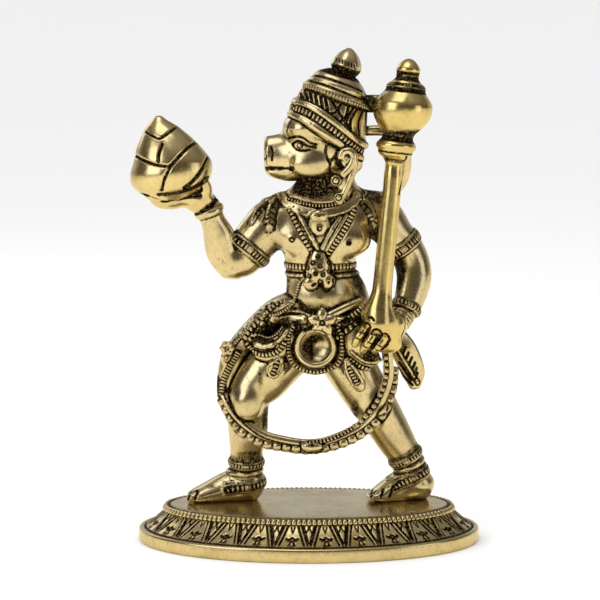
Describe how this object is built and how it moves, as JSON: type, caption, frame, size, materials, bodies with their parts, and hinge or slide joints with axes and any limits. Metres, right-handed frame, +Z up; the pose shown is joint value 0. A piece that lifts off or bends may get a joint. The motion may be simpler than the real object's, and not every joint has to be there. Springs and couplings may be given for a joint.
{
  "type": "hanuman figure",
  "caption": "Small cast brass striding monkey-faced deity with a raised hill and an upright mace, on a flared oval plinth with a leaf border and a beaded rim.",
  "frame": {"origin": "middle of the plinth's flat underside", "axes": "+Z up towards the crown's finial, -Y the side that the chest faces, +X the side of the mace"},
  "size_m": [0.1045, 0.067, 0.1484],
  "materials": {
    "antiqued_brass": "polished high spots with black antiquing left in the recesses"
  },
  "bodies": {
    "root": {"figure": "antiqued_brass", "plinth": "antiqued_brass"}
  },
  "joints": []
}
